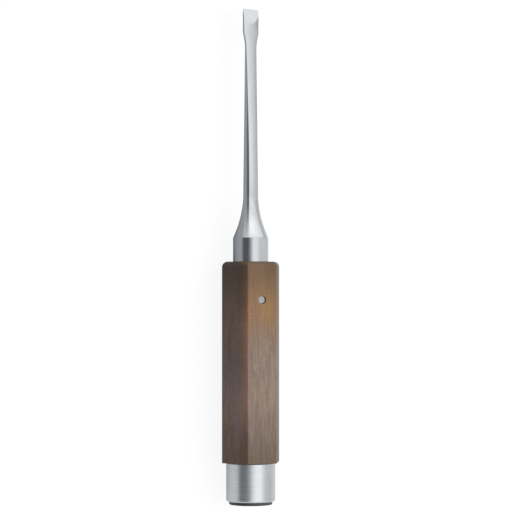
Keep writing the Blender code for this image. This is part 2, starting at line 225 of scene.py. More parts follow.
def add_node(tree, kind, settings=None, inputs=None):
    """A node with its settings, and with each input set to a value or linked to a socket."""
    node = tree.nodes.new(kind)
    for name, value in (settings or {}).items():
        setattr(node, name, value)
    for name, value in (inputs or {}).items():
        if isinstance(value, bpy.types.NodeSocket):
            tree.links.new(value, node.inputs[name])
        else:
            node.inputs[name].default_value = value
    return node


def new_material(name):
    """An empty node material, with its tree and its output node."""
    material = bpy.data.materials.new(name)
    material.use_nodes = True
    tree = material.node_tree
    tree.nodes.clear()
    return material, tree, add_node(tree, "ShaderNodeOutputMaterial")


def stretched(tree, across, along):
    """Object coordinates counted in pattern cells, each across wide and along long, in metres."""
    place = add_node(tree, "ShaderNodeTexCoord")
    scale = (1 / across, 1 / along, 1 / across)
    return add_node(tree, "ShaderNodeMapping", {}, {
        "Vector": place.outputs["Object"], "Scale": scale,
    }).outputs["Vector"]


def grain(tree, across, along, detail, *ranges):
    """A noise, and the same noise mapped to each range, from where it mostly lies."""
    noise = add_node(tree, "ShaderNodeTexNoise", {}, {
        "Vector": stretched(tree, across, along), "Scale": 1.0, "Detail": detail,
    }).outputs["Fac"]
    mapped = [
        add_node(tree, "ShaderNodeMapRange", {}, {
            "Value": noise, "From Min": NOISE_LOW, "From Max": NOISE_HIGH,
            "To Min": low, "To Max": high,
        }).outputs["Result"]
        for low, high in ranges
    ]
    return noise, *mapped


def streaks(tree, across, along, low, high, most):
    """Long soft streaks: a share that is 0 where the noise is under low, and most over high."""
    noise = add_node(tree, "ShaderNodeTexNoise", {}, {
        "Vector": stretched(tree, across, along), "Scale": 1.0, "Detail": 2.0, "Distortion": 0.2,
    })
    return add_node(tree, "ShaderNodeMapRange", {"interpolation_type": "SMOOTHSTEP"}, {
        "Value": noise.outputs["Fac"], "From Min": low, "From Max": high, "To Max": most,
    }).outputs["Result"]


def faded(tree, value, *bands):
    """The value times the share of each band.

    A band is a coordinate, the two places on it between which the share changes smoothly, and
    the share before and after them.
    """
    for place, start, end, before, after in bands:
        share = add_node(tree, "ShaderNodeMapRange", {"interpolation_type": "SMOOTHSTEP"}, {
            "Value": place, "From Min": start, "From Max": end,
            "To Min": before, "To Max": after,
        }).outputs["Result"]
        value = add_node(tree, "ShaderNodeMath", {"operation": "MULTIPLY"}, {
            0: value, 1: share,
        }).outputs["Value"]
    return value


def coated(tree, base, colour, share, *bands):
    """The base under a coat of another colour, as dense as the share, faded by the bands."""
    return add_node(tree, "ShaderNodeMix", {"data_type": "RGBA"}, {
        0: faded(tree, share, *bands), 6: base, 7: colour,
    }).outputs[2]


def stainless_steel(name, tint, finish, ground=None):
    """Stainless steel finished with fine lines, which break its reflections up a little.

    The real lines are a few hundredths of a millimetre apart, and are drawn coarser so that
    they show. ground is the place along the axis past which the blade is ground, and past
    which its colour is brightened as a painted highlight.
    """
    roughness, grain_across, grain_along, grain_depth = finish
    material, tree, output = new_material(name)
    lines, light = grain(tree, grain_across, grain_along, 2.0, (0.93, 1.05))
    _, dulled = grain(tree, *STEEL_HAZE, 2.0, (roughness * 0.9, roughness * 1.1))
    if ground is not None:
        place = add_node(tree, "ShaderNodeTexCoord").outputs["Object"]
        split = add_node(tree, "ShaderNodeSeparateXYZ", {}, {"Vector": place})
        square = add_node(tree, "ShaderNodeMath", {"operation": "MULTIPLY"}, {
            0: split.outputs["X"], 1: split.outputs["X"],
        }).outputs["Value"]
        reach = add_node(tree, "ShaderNodeMath", {"operation": "MULTIPLY_ADD"}, {
            0: square, 1: -GROUND_LIMIT_CURVE, 2: split.outputs["Y"],
        }).outputs["Value"]
        # Painted highlight: the steel's colour is brightened past the bevel's curved limit
        light = faded(
            tree, light, (reach, ground + GROUND_FROM, ground + GROUND_FULL, 1.0, GROUND_PAINTED_HIGHLIGHT_GAIN))
    lined = add_node(tree, "ShaderNodeVectorMath", {"operation": "SCALE"}, {
        0: tint[:3], "Scale": light,
    })
    bump = add_node(tree, "ShaderNodeBump", {}, {
        "Height": lines, "Distance": grain_depth, "Strength": 1.0,
    })
    shader = add_node(tree, "ShaderNodeBsdfPrincipled", {}, {
        "Base Color": lined.outputs["Vector"], "Metallic": 1.0, "Roughness": dulled,
        "Normal": bump.outputs["Normal"],
    })
    tree.links.new(shader.outputs["BSDF"], output.inputs["Surface"])
    return material


def cloth_layers(tree, height, colours):
    """The colour of the laminate's layers, with its long streaks.

    The cloths lie level and wave a little, so that the milled flats cut through one after
    another. The streaks are where they have taken up the resin differently.
    """
    wave = grain(tree, 0.0030, 0.030, 3.0)[0]
    rise = add_node(tree, "ShaderNodeMath", {"operation": "MULTIPLY_ADD"}, {
        0: wave, 1: CLOTH_WAVE, 2: height,
    })
    turns = add_node(tree, "ShaderNodeMath", {"operation": "MULTIPLY"}, {
        0: rise.outputs["Value"], 1: 2 * math.pi / CLOTH_THICKNESS,
    })
    layer = add_node(tree, "ShaderNodeMath", {"operation": "SINE"}, {0: turns.outputs["Value"]})
    resin_share = add_node(tree, "ShaderNodeMapRange", {}, {
        "Value": layer.outputs["Value"], "From Min": -1.0, "From Max": 1.0,
        "To Min": 0.0, "To Max": 0.45,
    }).outputs["Result"]
    layered = coated(tree, colours.cloth, colours.resin, resin_share)
    olive = coated(tree, layered, colours.olive, streaks(tree, 0.0014, 0.040, 0.48, 0.68, 0.45))
    return coated(tree, olive, colours.rosy, streaks(tree, 0.0011, 0.060, 0.50, 0.72, 0.40))


def left_flat(tree, dyed, left, strip, colours):
    """Greys the left flat, partly as painted sheen, with warm blotches and a redder upper arris
    strip.
    """
    # Partly painted sheen: a greyer coat over the left flat
    greyed = coated(tree, dyed, colours.plum_and_painted_sheen, 0.55, left)
    blotches = streaks(tree, 0.0030, 0.016, 0.48, 0.66, 0.55)
    blotched = coated(tree, greyed, colours.warm, blotches, left)
    return coated(tree, blotched, colours.rosy, 1.0, *strip)


def both_ends(tree, sided, across, along, colours):
    """Warms the end at the bolster, most golden below the pin, and paints shade on the struck end.
    """
    warmed = coated(
        tree, sided, colours.warm, 1.0,
        (across, -0.0090, -0.0066, 0.45, 1.0), (along, -0.045, -0.022, 0.0, 0.88))
    browned = coated(tree, warmed, colours.warm, 1.0, (along, -0.090, -0.076, 0.30, 0.0))
    golden = coated(
        tree, browned, colours.golden, streaks(tree, 0.0035, 0.014, 0.36, 0.60, 0.60),
        (across, -0.0045, 0.0030, 0.0, 1.0), (across, 0.0050, 0.0068, 1.0, 0.3),
        (along, -0.041, -0.026, 0.0, 1.0), (along, -0.016, -0.005, 1.0, 0.0))
    # Painted shade: the spigot's end beyond the ring is darkened
    return coated(tree, golden, colours.butt, 1.0, (along, -0.1087, -0.1083, 0.85, 0.0))


def painted_laminate_shade(tree, across, along, left, strip):
    """Painted shade: the laminate darker at its ends and side flats, lighter at the left arris."""
    light = faded(
        tree, 1.0,
        (along, -0.024, -0.004, 1.0, 0.64), (along, -0.040, -0.020, 0.80, 1.0),
        (along, -0.092, -0.060, 0.62, 1.0), (across, 0.0066, 0.0082, 1.0, 0.62))
    right_top = faded(
        tree, 1.0, (across, -0.0010, 0.0040, 0.0, 1.0), (along, -0.030, -0.014, 0.0, 1.0))
    strip_shade = faded(
        tree, 1.0, (along, -0.080, -0.064, 1.0, 1.50), (along, -0.032, -0.020, 1.0, 0.62))
    left_shade = faded(
        tree, 1.0, (along, -0.072, -0.046, 1.0, 0.66), (along, -0.036, -0.018, 1.0, 0.70))
    places = (
        (right_top, 0.86),
        (faded(tree, 1.0, *strip), strip_shade),
        (faded(tree, 1.0, left), left_shade),
    )
    for share, shade in places:
        local = add_node(tree, "ShaderNodeMix", {"data_type": "FLOAT"}, {
            0: share, 2: 1.0, 3: shade,
        })
        light = add_node(tree, "ShaderNodeMath", {"operation": "MULTIPLY"}, {
            0: light, 1: local.outputs[0],
        }).outputs["Value"]
    return light


def cotton_phenolic_laminate(colours):
    """Brown cotton-fabric phenolic laminate, milled and rubbed, with painted shade: a dull sheen
    over fine layers.
    """
    material, tree, output = new_material("cotton_fabric_phenolic_laminate")
    place = add_node(tree, "ShaderNodeTexCoord").outputs["Object"]
    split = add_node(tree, "ShaderNodeSeparateXYZ", {}, {"Vector": place})
    across, along = split.outputs["X"], split.outputs["Y"]
    left = (across, -0.0092, -0.0066, 1.0, 0.0)
    strip = ((across, -0.0102, -0.0078, 0.0, 0.75), (across, -0.0071, -0.0062, 1.0, 0.0))
    dyed = cloth_layers(tree, split.outputs["Z"], colours)
    sided = left_flat(tree, dyed, left, strip, colours)
    brown = both_ends(tree, sided, across, along, colours)

    # Threads of the cloth run both ways, and are drawn 0.6 mm wide so that they show
    thread, thread_light, sheen = grain(tree, 0.0006, 0.0060, 1.0, (1.00, 1.20), (0.42, 0.50))
    _, weft_light = grain(tree, 0.0030, 0.0006, 1.0, (0.91, 1.09))
    # Painted shade along and across the flats, times the weave's own light and dark
    light = painted_laminate_shade(tree, across, along, left, strip)
    for weave in (thread_light, weft_light):
        light = add_node(tree, "ShaderNodeMath", {"operation": "MULTIPLY"}, {
            0: light, 1: weave,
        }).outputs["Value"]
    woven_and_shaded = add_node(tree, "ShaderNodeVectorMath", {"operation": "SCALE"}, {
        0: brown, "Scale": light,
    })
    bump = add_node(tree, "ShaderNodeBump", {}, {
        "Height": thread, "Distance": 0.00002, "Strength": 1.0,
    })
    shader = add_node(tree, "ShaderNodeBsdfPrincipled", {}, {
        "Base Color": woven_and_shaded.outputs["Vector"], "Roughness": sheen, "IOR": 1.5,
        "Normal": bump.outputs["Normal"],
    })
    tree.links.new(shader.outputs["BSDF"], output.inputs["Surface"])
    return material


def backdrop_paper(colours):
    """White backdrop paper: matt, evenly white to the eye, and pale to metal and through glass,
    with painted shade beside the tool.
    """
    material, tree, output = new_material("white_backdrop_paper")
    path = add_node(tree, "ShaderNodeLightPath")
    mirrored = add_node(tree, "ShaderNodeMath", {"operation": "MAXIMUM"}, {
        0: path.outputs["Is Glossy Ray"], 1: path.outputs["Is Transmission Ray"],
    })
    place = add_node(tree, "ShaderNodeSeparateXYZ", {}, {
        "Vector": add_node(tree, "ShaderNodeTexCoord").outputs["Object"],
    })
    across, along = place.outputs["X"], place.outputs["Y"]
    # Painted shade: the glow that metal and glass see is dimmed beside the tool, most on its left
    right = faded(
        tree, 1.0, (along, 0.0, 0.090, PAPER_GLOW_RIGHT, PAPER_GLOW_RIGHT_OF_TIP))
    beside = faded(tree, 1.0, (across, -0.012, 0.012, PAPER_GLOW_LEFT, right))
    mirrored_glow_with_painted_shade = faded(
        tree, mirrored.outputs["Value"], (along, -0.094, -0.080, PAPER_GLOW_BUTT, beside))
    glow = add_node(tree, "ShaderNodeMix", {"data_type": "FLOAT"}, {
        0: path.outputs["Is Camera Ray"], 2: mirrored_glow_with_painted_shade, 3: PAPER_GLOW,
    })
    paper = coated(tree, colours.paper, colours.paper_seen, path.outputs["Is Camera Ray"])
    shader = add_node(tree, "ShaderNodeBsdfPrincipled", {}, {
        "Base Color": paper, "Roughness": 0.9, "Specular IOR Level": 0.0,
        "Emission Color": (1, 1, 1, 1), "Emission Strength": glow.outputs[0],
    })
    tree.links.new(shader.outputs["BSDF"], output.inputs["Surface"])
    return material


def smooth_step(share):
    """The share, eased at both ends."""
    share = min(max(share, 0.0), 1.0)
    return share * share * (3 - 2 * share)


def between(start, end, share):
    """The value at a share of the way from start to end."""
    return start + (end - start) * share


def deselect_all():
    if bpy.context.object and bpy.context.object.mode != "OBJECT":
        bpy.ops.object.mode_set(mode="OBJECT")
    bpy.ops.object.select_all(action="DESELECT")


def named(name):
    """The object that an operator has just added, under its own name."""
    obj = bpy.context.object
    obj.name = name
    obj.data.name = name
    return obj


def choose(obj, kind, test):
    """In edit mode, selects only the verts, edges or faces that pass the test."""
    bpy.ops.mesh.select_mode(type=kind)
    shape = bmesh.from_edit_mesh(obj.data)
    for group in (shape.verts, shape.edges, shape.faces):
        for part in group:
            part.select = False
    group = {"VERT": shape.verts, "EDGE": shape.edges, "FACE": shape.faces}[kind]
    for part in group:
        if test(part):
            part.select_set(True)
    shape.select_flush_mode()
    bmesh.update_edit_mesh(obj.data)


def use_modifier(obj, kind, **settings):
    """Adds a modifier, sets it and applies it."""
    bpy.context.view_layer.objects.active = obj
    modifier = obj.modifiers.new(kind.lower(), kind)
    for name, value in settings.items():
        setattr(modifier, name, value)
    bpy.ops.object.modifier_apply(modifier=modifier.name)


def cut_with(obj, operation, tool):
    """Joins or cuts obj with a tool object, which is then removed."""
    use_modifier(obj, "BOOLEAN", operation=operation, solver="EXACT", object=tool)
    bpy.data.objects.remove(tool, do_unlink=True)


def apply_place(obj):
    """Moves an object's place, turn and scale into its mesh."""
    deselect_all()
    obj.select_set(True)
    bpy.context.view_layer.objects.active = obj
    bpy.ops.object.transform_apply(location=True, rotation=True, scale=True)


def finish_piece(obj, material, slot, *nodes, even_normals=True):
    """Smooth shading, a material, and the solids that the piece stands for."""
    deselect_all()
    obj.select_set(True)
    bpy.context.view_layer.objects.active = obj
    bpy.ops.object.shade_smooth_by_angle(angle=SMOOTH_ANGLE, keep_sharp_edges=True)
    if even_normals:
        use_modifier(obj, "WEIGHTED_NORMAL", keep_sharp=True, weight=60)
    obj.data.materials.clear()
    obj.data.materials.append(material)
    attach(obj, "root")
    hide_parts(*nodes)


def arc_point(half_chord, rise, share):
    """A point (along, out) of an arc over a chord, from +half_chord (0) to -half_chord (1)."""
    if rise < half_chord * FLAT_RISE:
        return half_chord * (1 - 2 * share), rise
    radius = (half_chord ** 2 + rise ** 2) / (2 * rise)
    half_angle = math.atan2(half_chord, radius - rise)
    angle = half_angle * (1 - 2 * share)
    return radius * math.sin(angle), radius * math.cos(angle) - (radius - rise)


def blade_section(half_width, half_side, side_rise, face_rise, face_arris, side_arris):
    """One closed section: arcs for two broad faces and two narrow sides, with softened arrises.

    half_width and half_side place the arrises. side_rise and face_rise are how far the narrow
    sides and the broad faces bulge past the lines between them, and face_arris and side_arris
    how far the softening reaches over each.
    """
    def upper(share):
        along, out = arc_point(half_width, face_rise, share)
        return along, half_side + out

    def left(share):
        along, out = arc_point(half_side, side_rise, share)
        return -half_width - out, along

    def lower(share):
        across, up = upper(share)
        return -across, -up

    def right(share):
        across, up = left(share)
        return -across, -up

    face_trim = min(face_arris / (2 * half_width), 0.2)
    side_trim = min(side_arris / (2 * half_side), 0.2)
    stretches = [
        (upper, face_trim, FACE_STEPS), (left, side_trim, SIDE_STEPS),
        (lower, face_trim, FACE_STEPS), (right, side_trim, SIDE_STEPS),
    ]
    points = []
    for index, (curve, trim, steps) in enumerate(stretches):
        for step in range(steps + 1):
            points.append(curve(between(trim, 1 - trim, step / steps)))
        following, next_trim, _ = stretches[(index + 1) % 4]
        before = Vector(points[-1])
        corner = Vector(curve(1.0))
        after = Vector(following(next_trim))
        for step in range(1, ARRIS_STEPS):
            share = step / ARRIS_STEPS
            points.append(tuple(before.lerp(corner, share).lerp(corner.lerp(after, share), share)))
    return points


# Lengthwise shape of the blade
FLARE_EASE = 1.6
SHANK_WAIST_AT = 0.35
SHANK_TAPER_EASE = 1.5
SIDE_ROUND_FULL_AT = 0.75
CONE_CURVE = 1.45


def shank_width(sizes, share):
    """The shank is waisted: it widens from its narrowest place both ways, slowly at first."""
    if share < SHANK_WAIST_AT:
        return between(sizes.waist_width, sizes.front_width, (1 - share / SHANK_WAIST_AT) ** 2)
    toward_root = (share - SHANK_WAIST_AT) / (1 - SHANK_WAIST_AT)
    return between(sizes.waist_width, sizes.root_width, toward_root ** 2)


def shank_form(sizes, share):
    """The four measures of the shank's section, from the flare (0) to the cone (1)."""
    taper = 1 - (1 - share) ** SHANK_TAPER_EASE
    side = between(sizes.thickness, sizes.root_thickness, taper) / 2 - sizes.face_crown
    side_rise = side * math.tan(sizes.side_angle * smooth_step(share / SIDE_ROUND_FULL_AT) / 2)
    return shank_width(sizes, share) / 2 - side_rise, side, side_rise, sizes.face_crown


def round_form(sizes, radius):
    """The same four measures for a full circle, with its arrises where the shank's point."""
    half_width, side, _, _ = shank_form(sizes, 1.0)
    arris_angle = math.atan2(side, half_width)
    across = radius * math.cos(arris_angle)
    up = radius * math.sin(arris_angle)
    return across, up, radius - across, radius - up


def softening(sizes, share):
    """How far the arrises are taken back on face and side, from crisp (0) to the shank's (1)."""
    return (between(sizes.arris, sizes.face_arris, share),
            between(sizes.arris, sizes.side_arris, share))


def section_at(sizes, distance):
    """The blade's section at a distance from the cutting edge."""
    share = distance / sizes.cutting_length
    if share < 1:
        side = between(sizes.edge_side, sizes.shoulder_side, share) / 2
        half_width = between(sizes.shoulder_width, sizes.edge_width, (1 - share) ** 2) / 2
        return blade_section(
            half_width, side, 0.0, sizes.thickness / 2 - side, sizes.arris, sizes.arris)
    distance -= sizes.cutting_length
    share = distance / sizes.flare_length
    if share < 1:
        side = between(sizes.shoulder_side / 2, sizes.thickness / 2 - sizes.face_crown, share)
        easing = (1 - share) ** FLARE_EASE
        half_width = between(sizes.front_width, sizes.shoulder_width, easing) / 2
        return blade_section(
            half_width, side, 0.0, sizes.thickness / 2 - side, *softening(sizes, share))
    distance -= sizes.flare_length
    share = distance / sizes.shank_length
    if share < 1:
        return blade_section(*shank_form(sizes, share), *softening(sizes, 1.0))
    share = min((distance - sizes.shank_length) / sizes.cone_length, 1.0)
    root = shank_form(sizes, 1.0)
    end = round_form(sizes, BOLSTER_RADIUS - sizes.bolster_chamfer)
    swell = share ** CONE_CURVE
    return blade_section(
        *(between(a, b, swell) for a, b in zip(root, end)), *softening(sizes, 1 - swell))


def drawn_out_tube(obj, stretches):
    """Extrudes the open ring at y = 0 by each (length, cuts), and cuts each stretch into rings."""
    reached = 0.0
    for length, cuts in stretches:
        start = reached
        choose(obj, "VERT", lambda vert: abs(vert.co.y + start) < MERGE_DISTANCE)
        bpy.ops.mesh.extrude_region_move(TRANSFORM_OT_translate={"value": (0, -length, 0)})
        reached += length
        if cuts:
            choose(obj, "EDGE", lambda edge: abs(
                abs(edge.verts[0].co.y - edge.verts[1].co.y) - length) < MERGE_DISTANCE
                and min(vert.co.y for vert in edge.verts) < -reached + MERGE_DISTANCE)
            bpy.ops.mesh.subdivide(number_cuts=cuts)


def shape_sections(obj, sizes):
    """Moves each ring's points, which still lie on a circle, to the blade's section there."""
    shape = bmesh.from_edit_mesh(obj.data)
    sections = {}
    for vert in shape.verts:
        distance = round(-vert.co.y, 7)
        if distance not in sections:
            sections[distance] = section_at(sizes, distance)
        place = math.atan2(vert.co.z, vert.co.x) / (2 * math.pi) * SECTION_POINTS
        across, up = sections[distance][round(place) % SECTION_POINTS]
        vert.co = (across, EDGE_Y - distance, up)
    bmesh.update_edit_mesh(obj.data)


def bevel_height(sizes, distance):
    """Half thickness of the ground bevel, which is slightly convex along its length."""
    start = sizes.edge_land / 2
    slope = math.tan(sizes.edge_angle / 2)
    full = sizes.thickness / 2
    easing = (start + slope * sizes.bevel_length - full) / sizes.bevel_length ** 2
    return start + slope * distance - easing * distance ** 2


def grind_bevel(blade, sizes):
    """Cuts the ground bevel into both sides of the cutting edge with a curved block."""
    length = sizes.bevel_length + 2 * BEVEL_OVERRUN
    deep = 2 * sizes.thickness
    for side in (1, -1):
        deselect_all()
        bpy.ops.mesh.primitive_cube_add(
            size=1, scale=(2 * sizes.edge_width, length, deep),
            location=(0, EDGE_Y - sizes.bevel_length / 2, side * deep / 2),
        )
        block = named("bevel_block")
        apply_place(block)
        bpy.ops.object.mode_set(mode="EDIT")
        choose(block, "EDGE", lambda edge: abs(
            abs(edge.verts[0].co.y - edge.verts[1].co.y) - length) < MERGE_DISTANCE)
        bpy.ops.mesh.subdivide(number_cuts=BEVEL_FACETS)
        shape = bmesh.from_edit_mesh(block.data)
        for vert in shape.verts:
            if abs(vert.co.z) < MERGE_DISTANCE:
                vert.co.z = side * bevel_height(sizes, EDGE_Y - vert.co.y)
        bmesh.update_edit_mesh(block.data)
        bpy.ops.object.mode_set(mode="OBJECT")
        cut_with(blade, "DIFFERENCE", block)


def sharpen_bevel_limit(obj, sizes):
    """Marks the line where the ground bevel meets the crowned face as a sharp edge."""
    bpy.context.view_layer.objects.active = obj
    bpy.ops.object.mode_set(mode="EDIT")
    shape = bmesh.from_edit_mesh(obj.data)
    shape.normal_update()

    def ground(face):
        centre = face.calc_center_median()
        ahead = centre.y > EDGE_Y - sizes.bevel_length
        sloping = face.normal.y > LEAST_GROUND_SLOPE
        return ahead and sloping and abs(face.normal.z) > LEAST_BROAD_RISE

    for edge in shape.edges:
        if len(edge.link_faces) == 2 and len({ground(face) for face in edge.link_faces}) == 2:
            edge.smooth = False
    bmesh.update_edit_mesh(obj.data)
    bpy.ops.object.mode_set(mode="OBJECT")


def turn_bolster_and_tang(obj, sizes):
    """Extrudes the cone's last ring into the bolster, its seat and the hidden tang."""
    seat = HANDLE_TOP_Y + bpy.context.scene.osteotome_handle.fit
    front = EDGE_Y - (
        sizes.cutting_length + sizes.flare_length + sizes.shank_length + sizes.cone_length)
    small = BOLSTER_RADIUS - sizes.bolster_chamfer
    profile = [
        (small, front),
        (BOLSTER_RADIUS, front - sizes.bolster_chamfer),
        (BOLSTER_RADIUS, seat + sizes.bolster_chamfer),
        (small, seat),
        (sizes.tang_radius, seat),
        (sizes.tang_radius, TANG_END_Y + sizes.tang_chamfer),
        (sizes.tang_radius - sizes.tang_chamfer, TANG_END_Y),
    ]
    choose(obj, "VERT", lambda vert: abs(vert.co.y - front) < MERGE_DISTANCE * 4)
    for (radius, height), (next_radius, next_height) in zip(profile, profile[1:]):
        bpy.ops.mesh.extrude_region_move(
            TRANSFORM_OT_translate={"value": (0, next_height - height, 0)})
        share = next_radius / radius
        bpy.ops.transform.resize(
            value=(share, 1, share), center_override=(0, next_height, 0))
    bpy.ops.mesh.edge_face_add()


class OSTEOTOME_OT_blade(bpy.types.Operator):
    """Models the forged and ground blade, from its cutting edge to its bolster and tang"""
    bl_idname = "osteotome.blade"
    bl_label = "Blade"

    def execute(self, context):
        sizes = context.scene.osteotome_blade
        deselect_all()
        bpy.ops.mesh.primitive_circle_add(
            vertices=SECTION_POINTS, radius=BOLSTER_RADIUS, rotation=ALONG_TOOL)
        blade = named("osteotome_blade")
        apply_place(blade)
        bpy.ops.object.mode_set(mode="EDIT")
        drawn_out_tube(blade, [
            (sizes.cutting_length, CUTTING_CUTS), (sizes.flare_length, FLARE_CUTS),
            (sizes.shank_length, SHANK_CUTS), (sizes.cone_length, CONE_CUTS),
        ])
        shape_sections(blade, sizes)
        turn_bolster_and_tang(blade, sizes)
        choose(blade, "VERT", lambda vert: vert.co.y > EDGE_Y - MERGE_DISTANCE)
        bpy.ops.mesh.edge_face_add()
        bpy.ops.mesh.select_all(action="SELECT")
        bpy.ops.mesh.normals_make_consistent(inside=False)
        bpy.ops.object.mode_set(mode="OBJECT")
        grind_bevel(blade, sizes)
        sharpen_bevel_limit(blade, sizes)
        blade.rotation_euler = (0, sizes.blade_turn, 0)
        blade.location = (0, 0, AXIS_HEIGHT)
        apply_place(blade)
        tint = context.scene.osteotome_colours.steel
        steel = stainless_steel(
            "satin_martensitic_stainless_steel", tint, BLADE_FINISH, EDGE_Y - sizes.bevel_length)
        finish_piece(blade, steel, "blade_steel", "blade", even_normals=False)
        return {"FINISHED"}


def along_cylinder(name, radius, front_y, back_y, segments):
    """A closed cylinder on the tool's axis."""
    deselect_all()
    bpy.ops.mesh.primitive_cylinder_add(
        vertices=segments, radius=radius, depth=front_y - back_y, rotation=ALONG_TOOL,
        location=(0, (front_y + back_y) / 2, AXIS_HEIGHT),
    )
    obj = named(name)
    apply_place(obj)
    return obj


def round_rim(obj, test, radius, segments):
    """Rounds the edges that pass the test."""
    bpy.ops.object.mode_set(mode="EDIT")
    choose(obj, "EDGE", test)
    bpy.ops.mesh.bevel(offset=radius, segments=segments, affect="EDGES", profile=0.5)
    bpy.ops.object.mode_set(mode="OBJECT")


def rim_at(height):
    """True for the edges that lie square to the axis at that height."""
    return lambda edge: all(abs(vert.co.y - height) < RIM_DISTANCE for vert in edge.verts)


def hexagonal_body(sizes):
    """The milled hexagon, with its ends and arrises rounded together."""
    corner = ACROSS_FLATS / 2 / math.cos(math.pi / 6)
    deselect_all()
    bpy.ops.mesh.primitive_cylinder_add(
        vertices=6, radius=corner, depth=HANDLE_TOP_Y - SHOULDER_Y, rotation=ALONG_TOOL,
        location=(0, (HANDLE_TOP_Y + SHOULDER_Y) / 2, AXIS_HEIGHT),
    )
    body = named("osteotome_handle")
    apply_place(body)
    turned = Matrix.Translation((0, 0, AXIS_HEIGHT)) @ Matrix.Rotation(math.pi / 6, 4, "Y")
    body.data.transform(turned @ Matrix.Translation((0, 0, -AXIS_HEIGHT)))
    weights = body.data.attributes.new("bevel_weight_edge", "FLOAT", "EDGE")
    for edge in body.data.edges:
        heights = [body.data.vertices[index].co.y for index in edge.vertices]
        if max(heights) - min(heights) > sizes.top_rounding:
            radius = sizes.arris_rounding
        elif min(heights) > (HANDLE_TOP_Y + SHOULDER_Y) / 2:
            radius = sizes.top_rounding
        else:
            radius = sizes.bottom_rounding
        weights.data[edge.index].value = radius / sizes.top_rounding
    use_modifier(body, "BEVEL", limit_method="WEIGHT", width=sizes.top_rounding, segments=8)
    return body


class OSTEOTOME_OT_handle(bpy.types.Operator):
    """Models the hexagonal laminate handle with its spigot, its bore and the hole for the pin"""
    bl_idname = "osteotome.handle"
    bl_label = "Handle"

    def execute(self, context):
        sizes = context.scene.osteotome_handle
        blade_sizes = context.scene.osteotome_blade
        handle = hexagonal_body(sizes)
        inside = SHOULDER_Y + 2 * sizes.top_rounding
        spigot = along_cylinder("spigot", sizes.spigot_radius, inside, BUTT_Y, ROUND_SEGMENTS)
        round_rim(spigot, rim_at(BUTT_Y), sizes.butt_rounding, 6)
        cut_with(handle, "UNION", spigot)
        bore = along_cylinder(
            "bore", blade_sizes.tang_radius + sizes.fit, HANDLE_TOP_Y + ACROSS_FLATS,
            TANG_END_Y - sizes.bore_room, BORE_SEGMENTS,
        )
        cut_with(handle, "DIFFERENCE", bore)
        deselect_all()
        bpy.ops.mesh.primitive_cylinder_add(
            vertices=BORE_SEGMENTS, radius=sizes.pin_hole_radius, depth=2 * ACROSS_FLATS,
            location=(0, PIN_Y, AXIS_HEIGHT),
        )
        cut_with(handle, "DIFFERENCE", named("pin_hole"))
        laminate = cotton_phenolic_laminate(context.scene.osteotome_colours)
        finish_piece(handle, laminate, "handle_laminate", "handle")
        return {"FINISHED"}


class OSTEOTOME_OT_striking_ring(bpy.types.Operator):
    """Models the turned steel hoop that keeps the handle's butt from splitting"""
    bl_idname = "osteotome.striking_ring"
    bl_label = "Striking ring"

    def execute(self, context):
        sizes = context.scene.osteotome_handle
        top = SHOULDER_Y - sizes.ring_gap
        ring = along_cylinder(
            "osteotome_striking_ring", RING_RADIUS, top, RING_END_Y, ROUND_SEGMENTS)
        round_rim(ring, rim_at(RING_END_Y), sizes.ring_butt_rounding, 8)
        round_rim(ring, rim_at(top), sizes.ring_front_rounding, 5)
        bore = along_cylinder(
            "ring_bore", sizes.spigot_radius + sizes.fit, top + RING_RADIUS,
            RING_END_Y - RING_RADIUS, ROUND_SEGMENTS,
        )
        cut_with(ring, "DIFFERENCE", bore)
        tint = context.scene.osteotome_colours.ring_steel
        steel = stainless_steel("turned_austenitic_stainless_steel", tint, RING_FINISH)
        finish_piece(ring, steel, "ring_steel", "striking_ring")
        return {"FINISHED"}


class OSTEOTOME_OT_cross_pin(bpy.types.Operator):
    """Models the pin that holds the tang, sunk a little below the flats at both ends"""
    bl_idname = "osteotome.cross_pin"
    bl_label = "Cross pin"

    def execute(self, context):
        sizes = context.scene.osteotome_handle
        deselect_all()
        bpy.ops.mesh.primitive_cylinder_add(
            vertices=BORE_SEGMENTS, radius=sizes.pin_radius, depth=PIN_TOP - PIN_BOTTOM,
            location=(0, PIN_Y, (PIN_TOP + PIN_BOTTOM) / 2),
        )
        pin = named("osteotome_cross_pin")
        apply_place(pin)
        bpy.ops.object.mode_set(mode="EDIT")
        for end in (PIN_TOP, PIN_BOTTOM):
            choose(pin, "FACE", lambda face: abs(face.calc_center_median().z - end) < RIM_DISTANCE)
            for share in PIN_DISH_RINGS:
                bpy.ops.mesh.inset(thickness=sizes.pin_radius * (1 - share) * 0.5,
                                   depth=-sizes.pin_dish * (1 - share))
        choose(pin, "EDGE", lambda edge: any(
            all(abs(vert.co.z - end) < RIM_DISTANCE / 10
                and abs(math.hypot(vert.co.x, vert.co.y - PIN_Y) - sizes.pin_radius) < RIM_DISTANCE
                for vert in edge.verts)
            for end in (PIN_TOP, PIN_BOTTOM)))
        bpy.ops.mesh.bevel(offset=sizes.pin_edge, segments=4, affect="EDGES")
        bpy.ops.object.mode_set(mode="OBJECT")
        tint = context.scene.osteotome_colours.pin_steel
        steel = stainless_steel("cut_drawn_stainless_steel", tint, PIN_FINISH)
        finish_piece(pin, steel, "pin_steel", "cross_pin")
        return {"FINISHED"}


# Studio: what the photograph shows of the view and the light
FRAME_PIXELS = 512
PIXELS_PER_METRE = 2250
CAMERA_DISTANCE = 1.222
CAMERA_ELEVATION = math.radians(65)
EDGE_ROW = 9.4
AXIS_COLUMN = 250.7
SENSOR_WIDTH = 36
FLOOR_SIZE = 8.0
FLOOR_BELOW = 0.00001
PAPER_GLOW = 0.90

